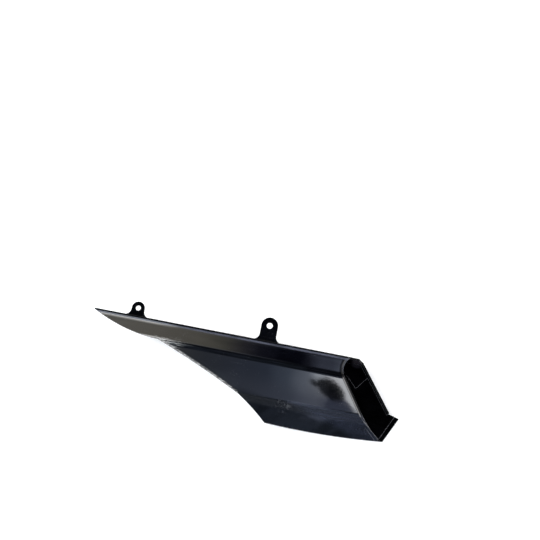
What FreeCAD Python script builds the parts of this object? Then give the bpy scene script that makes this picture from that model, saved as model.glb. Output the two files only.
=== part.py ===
import FreeCAD, Part
import math
import os
import Sketcher

# Right-hand side panel of a motorcycle seat unit: one moulded glass-fibre shell.
# It is drawn from the rear tip of its seam, the straight top edge beside the tail
# cover: X forward along the seam, Y to the left, Z up. The panel grows outboard,
# towards -Y. At the end the origin moves to the main fixing hole, on its tab.

SIZES = [
    ("wall", 2.2, "thickness of the laminate"),
    ("seam_length", 279.0, "seam, from the rear tip to the skin's front edge"),
    ("tip_width", 1.4, "blunt rear tip"),
    ("shoulder_land", 2.0, "flat beside the seam before the skin turns down"),
    ("shoulder_radius", 4.5, "rounding of the shoulder"),
    ("fold_out", 18.0, "soft fold under the steep strip, outboard of the seam"),
    ("fold_drop", 15.0, "the fold, below the seam"),
    ("fold_radius", 12.0, "rounding of the fold"),
    ("crease_out", 58.0, "crease between the wing's two faces, outboard of the seam"),
    ("crease_drop", 18.8, "the crease, below the seam"),
    ("crease_radius", 22.0, "softness of the crease"),
    ("strip_end_along", 71.0, "where the strip's lower edge meets the wing"),
    ("strip_bow", 4.0, "rise of the bow in the strip's lower edge"),
    ("notch_along", 167.0, "where the crease meets the trailing edge"),
    ("trail_bow", 1.2, "depth of the hollow in the inner face's trailing edge"),
    ("corner_bow", 0.8, "depth of the hollow in the outer face's trailing edge"),
    ("trail_radius", 2.0, "rounding of the trailing edge"),
    ("rear_corner_ahead", 33.5, "rear outer corner, forward of the notch"),
    ("rear_corner_out", 82.8, "rear outer corner"),
    ("rear_corner_drop", 27.0, "floor below the seam, at the rear outer corner"),
    ("front_corner_ahead", 48.5, "front outer corner, forward of the seam"),
    ("front_corner_out", 78.2, "front outer corner"),
    ("front_corner_drop", 31.5, "floor below the seam, at the front outer corner"),
    ("edge_bow", 2.4, "rise of the bow in the outer edge"),
    ("edge_land", 3.1, "upright land between the outer face and the floor"),
    ("floor_tip_ahead", 62.0, "floor's front corner beside the seat, forward of the seam"),
    ("floor_tip_out", 51.0, "front corner of the floor, beside the seat"),
    ("knee_ahead", 50.0, "bend of the floor's inner edge, forward of the seam"),
    ("knee_out", 48.0, "bend of the floor's inner edge beside the seat"),
    ("flank_ahead", 13.5, "seam's line goes on so far before the floor leaves it"),
    ("mouth_bow", 5.7, "depth of the hollow in the skin's front edge at the strip"),
    ("mouth_root_back", 2.0, "skin's front edge at the fold, behind the seam's end"),
    ("mouth_root_out", 21.0, "front edge of the skin at the fold"),
    ("mouth_crease_ahead", 23.5, "skin's front edge at the crease, forward of the seam"),
    ("mouth_edge_bow", 1.2, "depth of the hollow in that edge across the outer face"),
    ("mouth_setback", 2.0, "skin's front edge behind the front outer corner"),
    ("mouth_toe", 4.6, "how far that edge runs forward on its way down the land"),
    ("ledge_ahead", 11.0, "outer corner of the shallow recess, forward of the seam"),
    ("ledge_out", 28.0, "outer corner of the recess"),
    ("ledge_front_ahead", 23.0, "front end of the recess, forward of the seam"),
    ("ledge_front_out", 13.0, "front end of the recess, beside the seat"),
    ("ledge_rear_back", 9.0, "rear end of the recess, behind the seam's end"),
    ("ledge_rear_out", 8.0, "rear end of the recess, under the skin"),
    ("ledge_step", 0.9, "depth of the recess"),
    ("return_height", 10.8, "upstand along the floor's inner edge, from the underside"),
    ("side_wall_drop", 1.2, "top of the mouth's side wall, below the seam"),
    ("side_wall_ahead", 7.5, "the side wall's level top, forward of the seam"),
    ("lip_width", 5.5, "thinner lip along the floor's front edge, taken along X"),
    ("lip_depth", 0.8, "step down to the lip"),
    ("turn_start", 24.0, "rear end of the edge turned down under the seam"),
    ("turn_setback", 9.0, "front end of the turned-down edge, behind the skin's"),
    ("turn_depth", 6.0, "depth of the turned-down edge"),
    ("tab_drop", 3.0, "tabs below the seam, under the edge of the tail cover"),
    ("tab_flare", 7.0, "rounded roots of the tabs"),
    ("main_radius", 9.0, "half the width of the main tab"),
    ("main_along", 187.0, "main fixing hole, forward of the rear tip"),
    ("main_in", 17.0, "main fixing hole, inboard of the seam"),
    ("main_bore", 6.5, "main fixing hole"),
    ("rear_radius", 7.0, "half the width of the rear tab"),
    ("rear_along", 45.0, "rear fixing hole, forward of the rear tip"),
    ("rear_in", 9.0, "rear fixing hole, inboard of the seam"),
    ("rear_bore", 5.5, "rear fixing hole"),
    ("edge_round", 0.7, "eased outer edge of the wing"),
]

# Cutting shapes reach this far past the panel, and the block this far down.
SPARE = "20"
DEPTH = "60"

# What stands on the laminate starts this far inside it.
ROOT = "(sheet.wall / 2)"


def make_sheet(doc):
    sheet = doc.addObject("Spreadsheet::Sheet", "sheet")
    for row, (name, value, meaning) in enumerate(SIZES, 1):
        sheet.set(f"A{row}", name)
        sheet.set(f"B{row}", str(value))
        sheet.setAlias(f"B{row}", name)
        sheet.set(f"C{row}", meaning)
    doc.recompute()
    return sheet


doc = FreeCAD.newDocument("seat_side_panel")
sheet = make_sheet(doc)


def size(expression):
    """Value of an expression over the sheet's sizes, in mm."""
    return float(sheet.evalExpression(expression))


def beyond(first, last):
    """Place as far again past the last as it lies from the first."""
    return tuple(f"(2 * ({there}) - ({here}))" for here, there in zip(first, last))


def ahead(name):
    """Place forward of the seam's front end."""
    return f"(sheet.seam_length + sheet.{name}_ahead)"


def behind(name):
    """Place behind the seam's front end."""
    return f"(sheet.seam_length - sheet.{name}_back)"


# Corners seen from above: how far forward of the tip and outboard of the seam.
TIP = ("0", "0")
STRIP_END = ("sheet.strip_end_along", "sheet.fold_out")
NOTCH = ("sheet.notch_along", "sheet.crease_out")
REAR_CORNER = ("(sheet.notch_along + sheet.rear_corner_ahead)", "sheet.rear_corner_out")
FRONT_CORNER = (ahead("front_corner"), "sheet.front_corner_out")
FLOOR_TIP = (ahead("floor_tip"), "sheet.floor_tip_out")
KNEE = (ahead("knee"), "sheet.knee_out")
FLANK = (ahead("flank"), "0")
BLUNT_TIP = ("0", "sheet.tip_width")
SKIN_TOP = ("sheet.seam_length", "0")
SKIN_ROOT = (behind("mouth_root"), "sheet.mouth_root_out")
SKIN_CREASE = (ahead("mouth_crease"), "sheet.crease_out")
SKIN_CORNER = (f"({FRONT_CORNER[0]} - sheet.mouth_setback)", "sheet.front_corner_out")
LEDGE_REAR = (behind("ledge_rear"), "sheet.ledge_rear_out")
LEDGE = (ahead("ledge"), "sheet.ledge_out")
LEDGE_FRONT = (ahead("ledge_front"), "sheet.ledge_front_out")
FAR_OUT = f"(sheet.rear_corner_out + {SPARE})"
FAR_FRONT = f"({FLOOR_TIP[0]} + {SPARE})"
FAR_BELOW = f"(-{DEPTH} - {SPARE})"

STRIP_FALL = "(sheet.fold_drop / (sheet.fold_out - sheet.shoulder_land))"
INNER_FACE_FALL = ("((sheet.crease_drop - sheet.fold_drop)"
                   " / (sheet.crease_out - sheet.fold_out))")
FLOOR_GRADE = ("((sheet.front_corner_drop - sheet.rear_corner_drop)"
               f" / ({FRONT_CORNER[0]} - {REAR_CORNER[0]}))")
FLOOR_STRETCH = f"sqrt(1 + {FLOOR_GRADE} * {FLOOR_GRADE})"


def inner_face_drop(out):
    """Wing's inner face, below the seam."""
    return f"(sheet.fold_drop + {INNER_FACE_FALL} * ({out} - sheet.fold_out))"


def floor_drop(along):
    """Underside of the floor, below the seam."""
    return f"(sheet.rear_corner_drop + {FLOOR_GRADE} * ({along} - {REAR_CORNER[0]}))"


def edge_out(along):
    """Straight line between the two outer corners, outboard of the seam."""
    taper = ("(sheet.front_corner_out - sheet.rear_corner_out)"
             f" / ({FRONT_CORNER[0]} - {REAR_CORNER[0]})")
    return f"(sheet.rear_corner_out + {taper} * ({along} - {REAR_CORNER[0]}))"


def outer_face_fall(along):
    """How steeply the wing's outer face falls outboard."""
    whole = f"({floor_drop(along)} - sheet.edge_land - sheet.crease_drop)"
    return f"({whole} / ({edge_out(along)} - sheet.crease_out))"


def outer_face_drop(along, out):
    """Wing's outer face, below the seam."""
    return f"(sheet.crease_drop + {outer_face_fall(along)} * ({out} - sheet.crease_out))"


def eased(out, drop, fall_before, fall_after, radius):
    """Ends and rise of an arc that eases a bend in the skin, seen along the seam."""
    turn = f"((atan({fall_after}) - atan({fall_before})) / 2)"
    reach = f"({radius} * abs(tan({turn})))"
    ends = []
    for way, fall in (("-", fall_before), ("+", fall_after)):
        ends.append((f"-({out} {way} {reach} * cos(atan({fall})))",
                     f"-({drop} {way} {reach} * sin(atan({fall})))"))
    return ends, f"({radius} * (1 - cos({turn})))"


def plan(*places):
    """Sketch corners on a level plane, from places along and outboard."""
    return [(along, f"-({out})") for along, out in places]


def floor_plan(*places):
    """Sketch corners on the sloping floor, straight above or below the places."""
    return [(f"({along}) * {FLOOR_STRETCH}", f"-({out})") for along, out in places]


def new_sketch(body, name, role, offset=None):
    """Sketch on one of the body's origin planes, moved off it by expressions."""
    plane = next(item for item in body.Origin.OriginFeatures if item.Role == role)
    sketch = body.newObject("Sketcher::SketchObject", name)
    sketch.AttachmentSupport = [(plane, "")]
    sketch.MapMode = "FlatFace"
    for path, expression in (offset or {}).items():
        sketch.setExpression(f"AttachmentOffset.{path}", expression)
    doc.recompute()
    return sketch


def floor_sketch(body, name, height):
    """Sketch parallel to the floor, at a height over its underside."""
    sketch = new_sketch(body, name, "XY_Plane")
    tilt = FreeCAD.Rotation(FreeCAD.Vector(0, 1, 0), size(f"atan({FLOOR_GRADE})"))
    sketch.AttachmentOffset = FreeCAD.Placement(FreeCAD.Vector(), tilt)
    sketch.setExpression("AttachmentOffset.Rotation.Angle", f"atan({FLOOR_GRADE})")
    level = f"({height}) * {FLOOR_STRETCH} - {floor_drop('0')}"
    sketch.setExpression("AttachmentOffset.Base.z", level)
    doc.recompute()
    return sketch


def bow_top(start, end, rise):
    """Middle of a bow; a positive rise bulges to the right of the way."""
    chord = end - start
    side = FreeCAD.Vector(chord.y, -chord.x, 0).normalize()
    return (start + end) / 2 + side * rise


def bow_radius(start, end, rise):
    """Expression for the radius of a bow between two sketch corners."""
    span = " + ".join(f"(({last}) - ({first}))^2" for first, last in zip(start, end))
    return f"(({span}) / (8 * abs({rise})) + abs({rise}) / 2)"


def bind(sketch, constraint, name, expression):
    number = sketch.addConstraint(constraint)
    sketch.renameConstraint(number, name)
    sketch.setExpression(f"Constraints.{name}", expression)


def place_point(sketch, edge, end, name, corner):
    """Hold an end or centre of an edge at a corner, measured from the origin."""
    for kind, text in zip(("DistanceX", "DistanceY"), corner):
        held = Sketcher.Constraint(kind, -1, 1, edge, end, size(text))
        bind(sketch, held, f"{name}_{kind[-1].lower()}", text)


def end_number(sketch, edge, point):
    """1 or 2, whichever end of the edge lies nearer the point."""
    gaps = [(sketch.getPoint(edge, number) - point).Length for number in (1, 2)]
    return 1 if gaps[0] < gaps[1] else 2


def draw_outline(sketch, corners, bows=None):
    """Closed outline through corners; bows holds the rise of arcs by first corner."""
    bows = bows or {}
    points = [FreeCAD.Vector(size(across), size(up), 0) for across, up in corners]
    for index, start in enumerate(points):
        end = points[(index + 1) % len(points)]
        if index in bows:
            top = bow_top(start, end, size(bows[index]))
            sketch.addGeometry(Part.Arc(start, top, end), False)
        else:
            sketch.addGeometry(Part.LineSegment(start, end), False)
    for index, corner in enumerate(corners):
        before = (index - 1) % len(points)
        here = end_number(sketch, index, points[index])
        there = end_number(sketch, before, points[index])
        sketch.addConstraint(Sketcher.Constraint("Coincident", before, there, index, here))
        place_point(sketch, index, here, f"corner{index}", corner)
    for index, rise in bows.items():
        radius = bow_radius(corners[index], corners[(index + 1) % len(corners)], rise)
        curve = Sketcher.Constraint("Radius", index, size(radius))
        bind(sketch, curve, f"bow{index}", radius)
    doc.recompute()


def draw_band(sketch, path, width):
    """Closed band along an open path of corners, widening to the left of the way."""
    points = [FreeCAD.Vector(size(across), size(up), 0) for across, up in path]
    legs = [end - start for start, end in zip(points, points[1:])]
    sides = [FreeCAD.Vector(-leg.y, leg.x, 0).normalize() for leg in legs]
    inner = [points[0] + sides[0] * size(width)]
    for index, point in enumerate(points[1:-1]):
        bisector = (sides[index] + sides[index + 1]).normalize()
        inner.append(point + bisector * (size(width) / bisector.dot(sides[index])))
    inner.append(points[-1] + sides[-1] * size(width))
    ring = points + inner[::-1]
    for start, end in zip(ring, ring[1:] + ring[:1]):
        sketch.addGeometry(Part.LineSegment(start, end), False)
    for index in range(len(ring)):
        before = (index - 1) % len(ring)
        sketch.addConstraint(Sketcher.Constraint("Coincident", before, 2, index, 1))
    for index, corner in enumerate(path):
        place_point(sketch, index, 1, f"corner{index}", corner)
    for index in range(len(legs)):
        twin = len(ring) - 2 - index
        sketch.addConstraint(Sketcher.Constraint("Parallel", index, twin))
        gap = Sketcher.Constraint("Distance", twin, 1, index, size(width))
        bind(sketch, gap, f"width{index}", width)
    for cap, leg in ((len(legs), len(legs) - 1), (len(ring) - 1, 0)):
        sketch.addConstraint(Sketcher.Constraint("Perpendicular", cap, leg))
    doc.recompute()


def draw_circle(sketch, centre, bore):
    point = FreeCAD.Vector(size(centre[0]), size(centre[1]), 0)
    sketch.addGeometry(Part.Circle(point, FreeCAD.Vector(0, 0, 1), size(bore) / 2), False)
    place_point(sketch, 0, 3, "centre", centre)
    bind(sketch, Sketcher.Constraint("Diameter", 0, size(bore)), "bore", bore)
    doc.recompute()


def feature(body, kind, name, expressions=None, **properties):
    """PartDesign feature at the body's tip, with its sizes bound to the sheet."""
    item = body.newObject("PartDesign::" + kind, name)
    for key, value in properties.items():
        setattr(item, key, value)
    for path, expression in (expressions or {}).items():
        item.setExpression(path, expression)
    doc.recompute()
    return item


def upright(body, kind, name, expressions=None, **properties):
    """Pad or pocket from a sloping sketch, straight up."""
    return feature(body, kind, name, expressions, UseCustomVector=True,
                   Direction=FreeCAD.Vector(0, 0, 1), AlongSketchNormal=False, **properties)


def nearest(shape, kind, along, out, drop):
    """Name of the edge or face nearest a place."""
    spot = Part.Vertex(FreeCAD.Vector(size(along), -size(out), -size(drop)))
    gaps = [item.distToShape(spot)[0] for item in getattr(shape, kind + "s")]
    return f"{kind}{gaps.index(min(gaps)) + 1}"


def round_edges(body, name, radius, places):
    """Fillet on the edges nearest the given places."""
    tip = body.Tip
    edges = sorted({nearest(tip.Shape, "Edge", *place) for place in places})
    return feature(body, "Fillet", name, {"Radius": radius}, Base=(tip, edges))


def bow_middle(start, end, rise):
    """Middle of a bowed edge, along and outboard."""
    ends = [FreeCAD.Vector(size(along), -size(out), 0) for along, out in (start, end)]
    top = bow_top(*ends, size(rise))
    return str(top.x), str(-top.y)


def inset(before, here, after, gap):
    """Corner of an outline moved in by a gap; forward along it, inward is inboard."""
    ways = []
    for first, last in ((before, here), (here, after)):
        run, rise = (f"({end} - {start})" for start, end in zip(first, last))
        length = f"sqrt({run}^2 + {rise}^2)"
        ways.append((f"({run} / {length})", f"({rise} / {length})"))
    (run, rise), (next_run, next_rise) = ways
    share = f"({gap} / (1 + {run} * {next_run} + {rise} * {next_rise}))"
    return (f"({here[0]} + {share} * ({rise} + {next_rise}))",
            f"({here[1]} - {share} * ({run} + {next_run}))")


def slant(fall):
    """Distance straight down per distance square to a sloping face."""
    return f"sqrt(1 + {fall} * {fall})"


def bend(out, drop, fall_before, fall_after, gap):
    """Where two faces meet when both are moved in by a gap."""
    shift = f"({gap} * ({slant(fall_before)} - {slant(fall_after)}))"
    moved = f"({out} + {shift} / ({fall_after} - {fall_before}))"
    return moved, f"({drop} + {fall_before} * ({moved} - {out}) + {gap} * {slant(fall_before)})"


def cut_top(body, gap):
    """Level shoulder, steep strip and the wing's inner face, moved in by the gap."""
    shoulder = bend("sheet.shoulder_land", "0", "0", STRIP_FALL, gap)
    fold = bend("sheet.fold_out", "sheet.fold_drop", STRIP_FALL, INNER_FACE_FALL, gap)
    crown, crown_rise = eased(*shoulder, "0", STRIP_FALL, f"(sheet.shoulder_radius - {gap})")
    cove, cove_rise = eased(*fold, STRIP_FALL, INNER_FACE_FALL,
                            f"(sheet.fold_radius + {gap})")
    far_drop = f"({inner_face_drop(FAR_OUT)} + {gap} * {slant(INNER_FACE_FALL)})"
    profile = new_sketch(body, body.Name + "_top_profile", "YZ_Plane")
    draw_outline(profile, [(SPARE, f"-{gap}"), (SPARE, SPARE), (f"-{FAR_OUT}", SPARE),
                           (f"-{FAR_OUT}", f"-{far_drop}"), *reversed(cove),
                           *reversed(crown)], {4: cove_rise, 6: f"-{crown_rise}"})
    feature(body, "Pocket", body.Name + "_top", Profile=profile, Type="ThroughAll",
            Midplane=True)


def cut_underside(body, gap):
    """Flat floor that falls forward, cut from below and moved in by the gap."""
    lift = f"{gap} * {FLOOR_STRETCH}"
    profile = new_sketch(body, body.Name + "_side_profile", "XZ_Plane")
    behind_tip = f"(-2 * {SPARE})"
    draw_outline(profile, [(behind_tip, f"{lift} - {floor_drop(behind_tip)}"),
                           (FAR_FRONT, f"{lift} - {floor_drop(FAR_FRONT)}"),
                           (FAR_FRONT, FAR_BELOW), (behind_tip, FAR_BELOW)])
    feature(body, "Pocket", body.Name + "_underside", Profile=profile, Type="ThroughAll",
            Midplane=True)


def cut_outer_face(body, gap, radius=None):
    """Outer face, which twists: it falls more steeply towards the front.

    The crease that it leaves is sharp, or eased where a radius is given.
    """
    sections = []
    for name, along in (("rear", f"(sheet.notch_along - {SPARE})"), ("front", FAR_FRONT)):
        name = f"{body.Name}_{name}_section"
        section = new_sketch(body, name, "YZ_Plane", {"Base.z": along})
        fall = outer_face_fall(along)
        crease = bend("sheet.crease_out", "sheet.crease_drop", INNER_FACE_FALL, fall, gap)
        ends, bows = [tuple(f"-{place}" for place in crease)], {}
        if radius:
            ends, bows[0] = eased(*crease, INNER_FACE_FALL, fall, radius)
        foot = f"({outer_face_drop(along, FAR_OUT)} + {gap} * {slant(fall)})"
        draw_outline(section, [*ends, (f"-{FAR_OUT}", f"-{foot}"), (f"-{FAR_OUT}", SPARE),
                               (ends[0][0], SPARE)], bows)
        sections.append(section)
    feature(body, "SubtractiveLoft", body.Name + "_outer_face", Profile=sections[0],
            Sections=sections[1:], Ruled=True)


def make_outer_form(body):
    """Solid block with the panel's outside: its plan, then its faces cut in turn."""
    footprint = new_sketch(body, "footprint", "XY_Plane")
    corners = plan(TIP, BLUNT_TIP, STRIP_END, NOTCH, REAR_CORNER, FRONT_CORNER, FLOOR_TIP,
                   KNEE, FLANK)
    draw_outline(footprint, corners, {1: "sheet.strip_bow", 2: "-sheet.trail_bow",
                                      3: "-sheet.corner_bow", 4: "sheet.edge_bow"})
    feature(body, "Pad", "block", {"Length": DEPTH}, Profile=footprint, Reversed=True)
    cut_top(body, "0")
    along, out = bow_middle(STRIP_END, NOTCH, "-sheet.trail_bow")
    round_edges(body, "trailing_edge", "sheet.trail_radius",
                [(along, out, inner_face_drop(out))])
    cut_underside(body, "0")
    cut_outer_face(body, "0", "sheet.crease_radius")


def make_hollow(body):
    """Space inside the form, a wall in from its outside, open inboard and in front."""
    footprint = new_sketch(body, "hollow_footprint", "XY_Plane", {"Base.z": SPARE})
    chain = [BLUNT_TIP, STRIP_END, NOTCH, REAR_CORNER, FRONT_CORNER,
             beyond(REAR_CORNER, FRONT_CORNER)]
    inner = [inset(*chain[index - 1:index + 2], "sheet.wall") for index in range(1, 5)]
    start = inset(beyond(STRIP_END, BLUNT_TIP), BLUNT_TIP, STRIP_END, "sheet.wall")
    corners = plan((f"-{SPARE}", f"-{SPARE}"), (f"-{SPARE}", start[1]), start, *inner,
                   (FAR_FRONT, inner[-1][1]), (FAR_FRONT, f"-{SPARE}"))
    draw_outline(footprint, corners, {2: "sheet.strip_bow", 3: "-sheet.trail_bow",
                                      4: "-sheet.corner_bow", 5: "sheet.edge_bow"})
    feature(body, "Pad", "hollow_block", {"Length": DEPTH}, Profile=footprint, Reversed=True)
    cut_top(body, "sheet.wall")
    cut_underside(body, "sheet.wall")
    cut_outer_face(body, "sheet.wall")


def hollow_out(body, hollow):
    """The form less its hollow, which leaves an even wall."""
    cut = body.newObject("PartDesign::Boolean", "hollowed")
    cut.setObjects([hollow])
    cut.Type = "Cut"
    doc.recompute()


def relieve_tip(body):
    """Behind the wing only the steep strip is left, with no floor under it."""
    inner = f"{STRIP_FALL} * (sheet.shoulder_land {{}}) - sheet.wall * {slant(STRIP_FALL)}"
    profile = new_sketch(body, "tip_profile", "YZ_Plane")
    draw_outline(profile, [(SPARE, inner.format(f"+ {SPARE}")),
                           (f"-{FAR_OUT}", inner.format(f"- {FAR_OUT}")),
                           (f"-{FAR_OUT}", FAR_BELOW), (SPARE, FAR_BELOW)])
    feature(body, "Pocket", "tip_relief", {"Length": "2 * sheet.strip_end_along"},
            Profile=profile, Type="Length", Midplane=True)


def open_mouth(body):
    """The skin ends behind the floor, so the duct opens forwards and upwards."""
    past_edge = "sheet.front_corner_out + sheet.edge_land"
    outline = floor_sketch(body, "mouth_outline", "sheet.wall")
    corners = floor_plan(("sheet.seam_length", f"-{SPARE}"), SKIN_TOP, SKIN_ROOT,
                         SKIN_CREASE, SKIN_CORNER,
                         (f"{SKIN_CORNER[0]} + sheet.mouth_toe", past_edge),
                         (FAR_FRONT, past_edge), (FAR_FRONT, f"-{SPARE}"))
    draw_outline(outline, corners, {1: "sheet.mouth_bow", 3: "sheet.mouth_edge_bow"})
    upright(body, "Pocket", "mouth", {"Length": DEPTH}, Profile=outline)


def step_floor(body):
    """Shallow recess in the floor's inner front corner, where the tail unit sits."""
    outline = floor_sketch(body, "ledge_outline", "sheet.wall - sheet.ledge_step")
    corners = floor_plan((LEDGE_REAR[0], f"-{SPARE}"), LEDGE_REAR, LEDGE, LEDGE_FRONT,
                         (LEDGE_FRONT[0], f"-{SPARE}"))
    draw_outline(outline, corners)
    upright(body, "Pocket", "ledge", {"Length": "2 * sheet.ledge_step"}, Profile=outline)


def step_lip(body):
    """Thinner lip along the floor's front edge."""
    near_seat = beyond(FRONT_CORNER, FLOOR_TIP)
    outside = beyond(FLOOR_TIP, FRONT_CORNER)
    outline = floor_sketch(body, "lip_outline", "sheet.wall - sheet.lip_depth")
    corners = floor_plan((f"{near_seat[0]} - sheet.lip_width", near_seat[1]),
                         (f"{outside[0]} - sheet.lip_width", outside[1]),
                         (f"{outside[0]} + {SPARE}", outside[1]),
                         (f"{near_seat[0]} + {SPARE}", near_seat[1]))
    draw_outline(outline, corners)
    upright(body, "Pocket", "lip", {"Length": DEPTH}, Profile=outline)


def raise_return(body):
    """Upstand along the floor's inner edge, which lies against the seat unit."""
    band = floor_sketch(body, "return_outline", ROOT)
    draw_band(band, floor_plan(KNEE, FLANK, (STRIP_END[0], "0")), "sheet.wall")
    upright(body, "Pad", "floor_return", {"Length": f"sheet.return_height - {ROOT}"},
            Profile=band)


def turn_edge_down(body):
    """Edge turned down under the seam, which stiffens the skin and carries the tabs."""
    level = {"Base.z": f"-{ROOT}"}
    front = "sheet.seam_length - sheet.turn_setback"
    outline = new_sketch(body, "turned_edge_outline", "XY_Plane", level)
    draw_outline(outline, plan(("sheet.turn_start", "0"), (front, "0"),
                               (front, "sheet.wall"), ("sheet.turn_start", "sheet.wall")))
    feature(body, "Pad", "turned_edge", {"Length": f"sheet.turn_depth - {ROOT}"},
            Profile=outline, Reversed=True)


def close_side(body):
    """Side wall at the mouth's inner corner, from the seam's end down to the floor."""
    rear = "(sheet.seam_length - sheet.turn_setback - sheet.wall)"
    low = f"sheet.return_height - sheet.wall - {floor_drop(FLANK[0])}"
    profile = new_sketch(body, "side_wall_profile", "XZ_Plane")
    draw_outline(profile, [(rear, "-sheet.side_wall_drop"),
                           (rear, f"{ROOT} - {floor_drop(rear)}"),
                           (FLANK[0], f"{ROOT} - {floor_drop(FLANK[0])}"),
                           (FLANK[0], low), (ahead("side_wall"), "-sheet.side_wall_drop")])
    feature(body, "Pad", "side_wall", {"Length": "sheet.wall"}, Profile=profile)


def add_tab(body, name):
    """Fixing tab with a round end and its bore, a step below the seam."""
    along, inboard, radius = (f"sheet.{name}_{part}" for part in ("along", "in", "radius"))
    level = {"Base.z": "-sheet.tab_drop"}
    corners = [(f"{along} - {radius}", "-sheet.wall"), (f"{along} + {radius}", "-sheet.wall"),
               (f"{along} + {radius}", inboard), (f"{along} - {radius}", inboard)]
    outline = new_sketch(body, name + "_tab_outline", "XY_Plane", level)
    draw_outline(outline, corners)
    feature(body, "Pad", name + "_tab", {"Length": "sheet.wall"}, Profile=outline,
            Reversed=True)
    end = new_sketch(body, name + "_end_outline", "XY_Plane", level)
    draw_circle(end, (along, inboard), f"2 * {radius}")
    feature(body, "Pad", name + "_end", {"Length": "sheet.wall"}, Profile=end, Reversed=True)
    depth = "sheet.tab_drop + sheet.wall / 2"
    round_edges(body, name + "_roots", "sheet.tab_flare",
                [(f"{along} - {radius}", "0", depth), (f"{along} + {radius}", "0", depth)])
    bore = new_sketch(body, name + "_bore_circle", "XY_Plane", level)
    draw_circle(bore, (along, inboard), f"sheet.{name}_bore")
    feature(body, "Pocket", name + "_bore", {"Length": "2 * sheet.wall"}, Profile=bore)


def ease_edge(body):
    """Slightly rounded outer edge of the wing."""
    along, out = bow_middle(REAR_CORNER, FRONT_CORNER, "sheet.edge_bow")
    round_edges(body, "outer_edge_round", "sheet.edge_round",
                [(along, out, outer_face_drop(along, out))])


def check(doc, body):
    for item in doc.Objects:
        if "Invalid" in item.State or "Error" in item.State:
            raise RuntimeError(f"{item.Name}: {item.State}")
    if body.Shape.isNull() or not body.Shape.isValid() or len(body.Shape.Solids) != 1:
        raise RuntimeError("the panel isn't one valid solid")


hollow = doc.addObject("PartDesign::Body", "hollow")
make_hollow(hollow)
body = doc.addObject("PartDesign::Body", "side_panel")
make_outer_form(body)
hollow_out(body, hollow)
relieve_tip(body)
open_mouth(body)
step_floor(body)
step_lip(body)
raise_return(body)
turn_edge_down(body)
close_side(body)
add_tab(body, "main")
add_tab(body, "rear")
ease_edge(body)
body.setExpression("Placement.Base.x", "-sheet.main_along")
body.setExpression("Placement.Base.y", "-sheet.main_in")
body.setExpression("Placement.Base.z", "sheet.tab_drop")
doc.recompute()
check(doc, body)
os.makedirs("parts", exist_ok=True)
body.Shape.exportStep("parts/side_panel.step")
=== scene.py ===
import math

import bmesh
import bpy
from mathutils import Matrix, Vector
from mathutils.bvhtree import BVHTree


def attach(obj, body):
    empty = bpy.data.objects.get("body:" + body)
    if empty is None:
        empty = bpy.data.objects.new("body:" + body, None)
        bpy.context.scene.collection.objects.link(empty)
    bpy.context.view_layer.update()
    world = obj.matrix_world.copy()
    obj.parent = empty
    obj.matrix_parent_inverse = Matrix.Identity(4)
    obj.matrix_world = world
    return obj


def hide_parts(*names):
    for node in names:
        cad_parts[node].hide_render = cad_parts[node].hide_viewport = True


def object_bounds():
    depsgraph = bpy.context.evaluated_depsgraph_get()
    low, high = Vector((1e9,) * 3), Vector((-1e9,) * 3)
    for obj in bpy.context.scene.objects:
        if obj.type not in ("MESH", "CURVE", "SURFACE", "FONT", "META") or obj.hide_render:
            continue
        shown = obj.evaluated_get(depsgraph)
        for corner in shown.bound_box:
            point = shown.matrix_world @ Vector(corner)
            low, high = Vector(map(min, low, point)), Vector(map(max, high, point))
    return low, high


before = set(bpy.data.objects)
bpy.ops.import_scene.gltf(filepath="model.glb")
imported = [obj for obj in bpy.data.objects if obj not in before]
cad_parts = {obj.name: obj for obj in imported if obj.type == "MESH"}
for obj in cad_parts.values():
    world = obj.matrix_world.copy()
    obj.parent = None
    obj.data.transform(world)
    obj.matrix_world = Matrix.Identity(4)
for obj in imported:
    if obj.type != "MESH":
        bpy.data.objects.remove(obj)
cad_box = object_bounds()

# Places on the panel, in millimetres: along the seam from the rear tip, outboard of the
# seam, and down from the seam. Where no unit is named, the rest is in metres, in the frame
# of the model, which has its origin at the main tab's hole.
MAIN_ALONG, MAIN_IN, TAB_DROP = 187.0, 17.0, 3.0
SHOULDER_OUT, FOLD_OUT, CREASE_OUT = 2.0, 18.0, 58.0
FOLD_DROP, CREASE_DROP = 15.0, 18.8
# The floor's drop at the rear corner and its fall towards the front.
FLOOR_DROP, FLOOR_GRADE = 27.0, 4.5 / 127.0
# The outer face's fall at one place along the seam, and how much it grows per millimetre.
OUTER_FALL, OUTER_TWIST, TWIST_START = 0.1198, 0.002095, 147.0
# Corners of the plan, along and outboard.
STRIP_END, NOTCH = (71.0, FOLD_OUT), (167.0, CREASE_OUT)
REAR_CORNER, FRONT_CORNER = (200.5, 82.8), (327.5, 78.2)
FLOOR_TIP, KNEE, FLANK = (341.0, 51.0), (329.0, 48.0), (292.5, 0.0)
TRAIL_RISE = 1.2

# Plan of the panel, outboard side and inboard side: corners, with the rise of the bow in
# the side that starts there.
OUTER_SIDE = [(0.0, 1.4, 4.0), (*STRIP_END, -TRAIL_RISE), (*NOTCH, -0.8), (*REAR_CORNER, 2.4),
              (*FRONT_CORNER, 0.0), (*FLOOR_TIP, 0.0)]
INNER_SIDE = [(0.0, 0.0, 0.0), (*FLANK, 0.0), (*KNEE, 0.0), (*FLOOR_TIP, 0.0)]

# The skin's front edge: a bow beside the seam, its radius in metres, then two straights.
MOUTH_ROOT, MOUTH_CREASE, MOUTH_END = (277.0, 21.0), (302.5, CREASE_OUT), (325.5, 78.2)
MOUTH_BOW_CENTRE, MOUTH_BOW_RADIUS = (284.9, 10.5), 0.0126

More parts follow.
